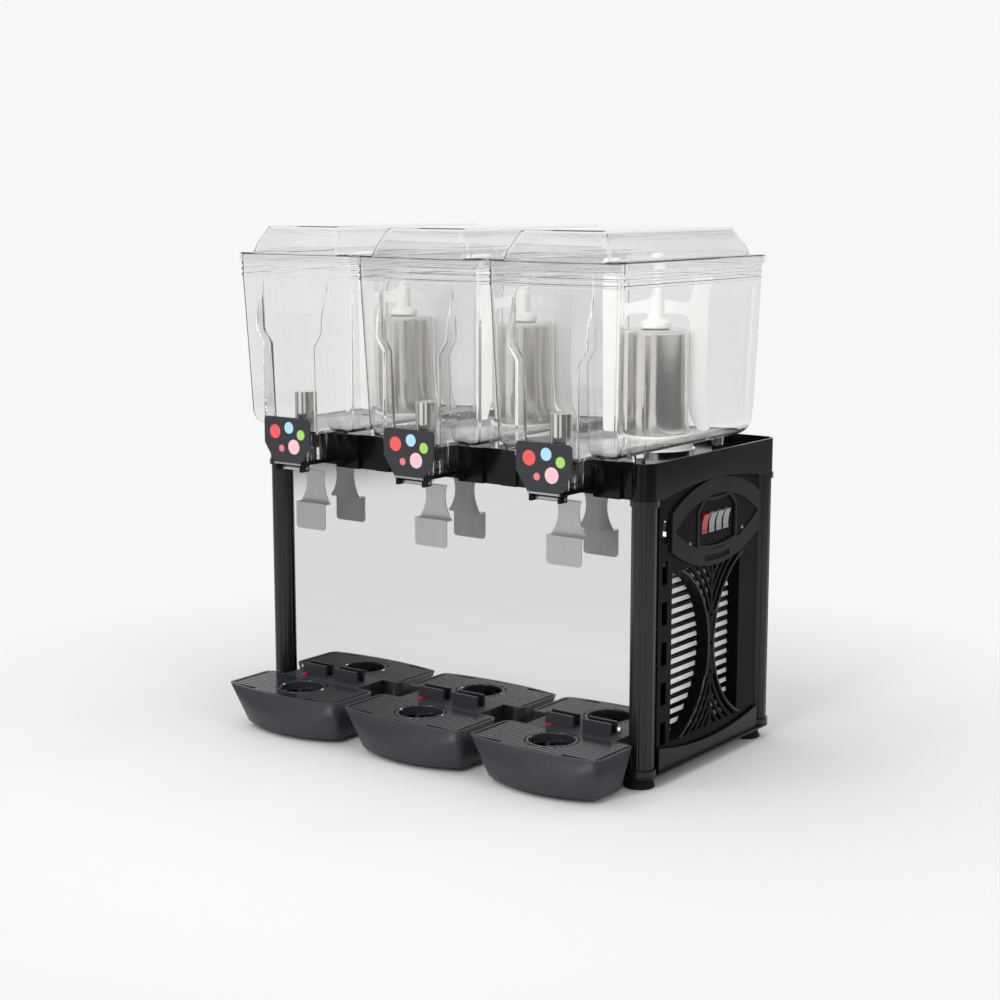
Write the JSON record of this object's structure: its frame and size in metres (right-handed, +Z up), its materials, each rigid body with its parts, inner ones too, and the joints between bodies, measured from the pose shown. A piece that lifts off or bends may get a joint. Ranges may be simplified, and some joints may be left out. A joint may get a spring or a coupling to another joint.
{
  "type": "juice dispenser",
  "caption": "Counter-top chilled juice dispenser: clear lidded bowls over steel evaporators, paddle stirrers, push-lever taps and pull-out drip trays on a black cabinet.",
  "frame": {"origin": "on the counter, under the middle of the whole machine", "axes": "+X to the machine's right as seen from the front, -Y to the front, +Z up"},
  "size_m": [0.607, 0.413, 0.6575],
  "materials": {
    "black_gloss": "glossy black moulding",
    "black_satin": "satin black moulding",
    "charcoal": "fine-textured dark grey moulding",
    "tray_grey": "satin dark grey moulding",
    "rubber": "matt rubber",
    "polished_steel": "mirror-polished stainless sheet",
    "brushed_steel": "brushed stainless",
    "bright_sheet": "plain bright sheet",
    "clear": "clear moulded plastic",
    "white_plastic": "white moulding",
    "badge": "dark grey plate with a printed face",
    "red_plastic": "red moulding",
    "motor_paint": "black paint",
    "fin": "plain fins"
  },
  "bodies": {
    "cabinet": {"base_pan": "black_satin", "feet": "rubber", "front_panel": "polished_steel", "rear_panel": "brushed_steel", "panel_screws": "brushed_steel", "deck": "black_gloss", "side_grille_left": "black_satin", "side_grille_right": "black_satin", "louvre_left": "bright_sheet", "louvre_right": "bright_sheet", "switch_plate": "charcoal", "blank_plate": "charcoal", "compressor": "motor_paint", "condenser": "fin", "fan_motor": "motor_paint", "bowl_seals": "white_plastic", "stirrer_motors": "motor_paint", "tap_badges": "badge", "lever_pins": "brushed_steel", "post_front_left": "black_gloss", "post_front_right": "black_gloss", "post_rear_left": "black_gloss", "post_rear_right": "black_gloss", "evaporator_left": "brushed_steel", "evaporator_middle": "brushed_steel", "evaporator_right": "brushed_steel"},
    "switch_1": {"switch_1": "red_plastic"},
    "switch_2": {"switch_2": "white_plastic"},
    "switch_3": {"switch_3": "white_plastic"},
    "switch_4": {"switch_4": "white_plastic"},
    "thermostat_knob": {"thermostat_knob": "black_satin"},
    "fan_rotor": {"fan_rotor": "black_satin"},
    "drive_shaft_left": {"drive_shaft_left": "brushed_steel"},
    "drive_shaft_middle": {"drive_shaft_middle": "brushed_steel"},
    "drive_shaft_right": {"drive_shaft_right": "brushed_steel"},
    "bowl_left": {"bowl_left": "clear"},
    "bowl_middle": {"bowl_middle": "clear"},
    "bowl_right": {"bowl_right": "clear"},
    "lid_left": {"lid_left": "clear"},
    "lid_middle": {"lid_middle": "clear"},
    "lid_right": {"lid_right": "clear"},
    "stirrer_left": {"stirrer_left": "white_plastic"},
    "stirrer_middle": {"stirrer_middle": "white_plastic"},
    "stirrer_right": {"stirrer_right": "white_plastic"},
    "piston_left": {"piston_left": "brushed_steel"},
    "piston_middle": {"piston_middle": "brushed_steel"},
    "piston_right": {"piston_right": "brushed_steel"},
    "lever_left": {"lever_left": "brushed_steel"},
    "lever_middle": {"lever_middle": "brushed_steel"},
    "lever_right": {"lever_right": "brushed_steel"},
    "tray_left": {"tray_left": "tray_grey"},
    "tray_middle": {"tray_middle": "tray_grey"},
    "tray_right": {"tray_right": "tray_grey"},
    "tray_cover_left": {"tray_cover_left": "tray_grey"},
    "tray_cover_middle": {"tray_cover_middle": "tray_grey"},
    "tray_cover_right": {"tray_cover_right": "tray_grey"},
    "float_left": {"float_left": "red_plastic"},
    "float_middle": {"float_middle": "red_plastic"},
    "float_right": {"float_right": "red_plastic"}
  },
  "joints": [
    {"name": "bowl_lift_left", "type": "slide", "parent": "cabinet", "child": "bowl_left", "axis": [0, 0, 1], "range_m": [0, 0.16]},
    {"name": "lid_lift_left", "type": "slide", "parent": "bowl_left", "child": "lid_left", "axis": [0, 0, 1], "range_m": [0, 0.1]},
    {"name": "drive_spin_left", "type": "hinge", "parent": "cabinet", "child": "drive_shaft_left", "pos_m": [-0.2, 0.0685, 0.4], "axis": [0, 0, 1], "continuous": true},
    {"name": "stirrer_spin_left", "type": "hinge", "parent": "bowl_left", "child": "stirrer_left", "pos_m": [-0.2, 0.0685, 0.54], "axis": [0, 0, 1], "continuous": true},
    {"name": "lever_push_left", "type": "hinge", "parent": "cabinet", "child": "lever_left", "pos_m": [-0.2, -0.1615, 0.3515], "axis": [1, 0, 0], "range_deg": [0, 12], "stiffness_Nm_per_rad": 0.3},
    {"name": "piston_lift_left", "type": "slide", "parent": "bowl_left", "child": "piston_left", "axis": [0, 0, 1], "range_m": [0, 0.0036]},
    {"name": "tray_pull_left", "type": "slide", "parent": "cabinet", "child": "tray_left", "axis": [0, -1, 0], "range_m": [0, 0.08]},
    {"name": "cover_lift_left", "type": "slide", "parent": "tray_left", "child": "tray_cover_left", "axis": [0, 0, 1], "range_m": [0, 0.06]},
    {"name": "float_rise_left", "type": "slide", "parent": "tray_left", "child": "float_left", "axis": [0, 0, 1], "range_m": [0, 0.012]},
    {"name": "bowl_lift_middle", "type": "slide", "parent": "cabinet", "child": "bowl_middle", "axis": [0, 0, 1], "range_m": [0, 0.16]},
    {"name": "lid_lift_middle", "type": "slide", "parent": "bowl_middle", "child": "lid_middle", "axis": [0, 0, 1], "range_m": [0, 0.1]},
    {"name": "drive_spin_middle", "type": "hinge", "parent": "cabinet", "child": "drive_shaft_middle", "pos_m": [0, 0.0685, 0.4], "axis": [0, 0, 1], "continuous": true},
    {"name": "stirrer_spin_middle", "type": "hinge", "parent": "bowl_middle", "child": "stirrer_middle", "pos_m": [0, 0.0685, 0.54], "axis": [0, 0, 1], "continuous": true},
    {"name": "lever_push_middle", "type": "hinge", "parent": "cabinet", "child": "lever_middle", "pos_m": [0, -0.1615, 0.3515], "axis": [1, 0, 0], "range_deg": [0, 12], "stiffness_Nm_per_rad": 0.3},
    {"name": "piston_lift_middle", "type": "slide", "parent": "bowl_middle", "child": "piston_middle", "axis": [0, 0, 1], "range_m": [0, 0.0036]},
    {"name": "tray_pull_middle", "type": "slide", "parent": "cabinet", "child": "tray_middle", "axis": [0, -1, 0], "range_m": [0, 0.08]},
    {"name": "cover_lift_middle", "type": "slide", "parent": "tray_middle", "child": "tray_cover_middle", "axis": [0, 0, 1], "range_m": [0, 0.06]},
    {"name": "float_rise_middle", "type": "slide", "parent": "tray_middle", "child": "float_middle", "axis": [0, 0, 1], "range_m": [0, 0.012]},
    {"name": "bowl_lift_right", "type": "slide", "parent": "cabinet", "child": "bowl_right", "axis": [0, 0, 1], "range_m": [0, 0.16]},
    {"name": "lid_lift_right", "type": "slide", "parent": "bowl_right", "child": "lid_right", "axis": [0, 0, 1], "range_m": [0, 0.1]},
    {"name": "drive_spin_right", "type": "hinge", "parent": "cabinet", "child": "drive_shaft_right", "pos_m": [0.2, 0.0685, 0.4], "axis": [0, 0, 1], "continuous": true},
    {"name": "stirrer_spin_right", "type": "hinge", "parent": "bowl_right", "child": "stirrer_right", "pos_m": [0.2, 0.0685, 0.54], "axis": [0, 0, 1], "continuous": true},
    {"name": "lever_push_right", "type": "hinge", "parent": "cabinet", "child": "lever_right", "pos_m": [0.2, -0.1615, 0.3515], "axis": [1, 0, 0], "range_deg": [0, 12], "stiffness_Nm_per_rad": 0.3},
    {"name": "piston_lift_right", "type": "slide", "parent": "bowl_right", "child": "piston_right", "axis": [0, 0, 1], "range_m": [0, 0.0036]},
    {"name": "tray_pull_right", "type": "slide", "parent": "cabinet", "child": "tray_right", "axis": [0, -1, 0], "range_m": [0, 0.08]},
    {"name": "cover_lift_right", "type": "slide", "parent": "tray_right", "child": "tray_cover_right", "axis": [0, 0, 1], "range_m": [0, 0.06]},
    {"name": "float_rise_right", "type": "slide", "parent": "tray_right", "child": "float_right", "axis": [0, 0, 1], "range_m": [0, 0.012]},
    {"name": "rocker_1", "type": "hinge", "parent": "cabinet", "child": "switch_1", "pos_m": [0.29, 0.032, 0.3037], "axis": [0, -1, 0], "range_deg": [0, 16]},
    {"name": "rocker_2", "type": "hinge", "parent": "cabinet", "child": "switch_2", "pos_m": [0.29, 0.049, 0.3037], "axis": [0, -1, 0], "range_deg": [0, 16]},
    {"name": "rocker_3", "type": "hinge", "parent": "cabinet", "child": "switch_3", "pos_m": [0.29, 0.066, 0.3037], "axis": [0, -1, 0], "range_deg": [0, 16]},
    {"name": "rocker_4", "type": "hinge", "parent": "cabinet", "child": "switch_4", "pos_m": [0.29, 0.083, 0.3037], "axis": [0, -1, 0], "range_deg": [0, 16]},
    {"name": "thermostat_turn", "type": "hinge", "parent": "cabinet", "child": "thermostat_knob", "pos_m": [0.276, 0.2, 0.37], "axis": [0, 1, 0], "range_deg": [0, 270]},
    {"name": "fan_spin", "type": "hinge", "parent": "cabinet", "child": "fan_rotor", "pos_m": [0.167, 0.0455, 0.119], "axis": [1, 0, 0], "continuous": true}
  ],
  "couplings": [
    {"joint": "stirrer_spin_left", "follows": "drive_spin_left", "ratio": 1},
    {"joint": "piston_lift_left", "follows": "lever_push_left", "m_per_rad": 0.01665},
    {"joint": "stirrer_spin_middle", "follows": "drive_spin_middle", "ratio": 1},
    {"joint": "piston_lift_middle", "follows": "lever_push_middle", "m_per_rad": 0.01665},
    {"joint": "stirrer_spin_right", "follows": "drive_spin_right", "ratio": 1},
    {"joint": "piston_lift_right", "follows": "lever_push_right", "m_per_rad": 0.01665}
  ]
}
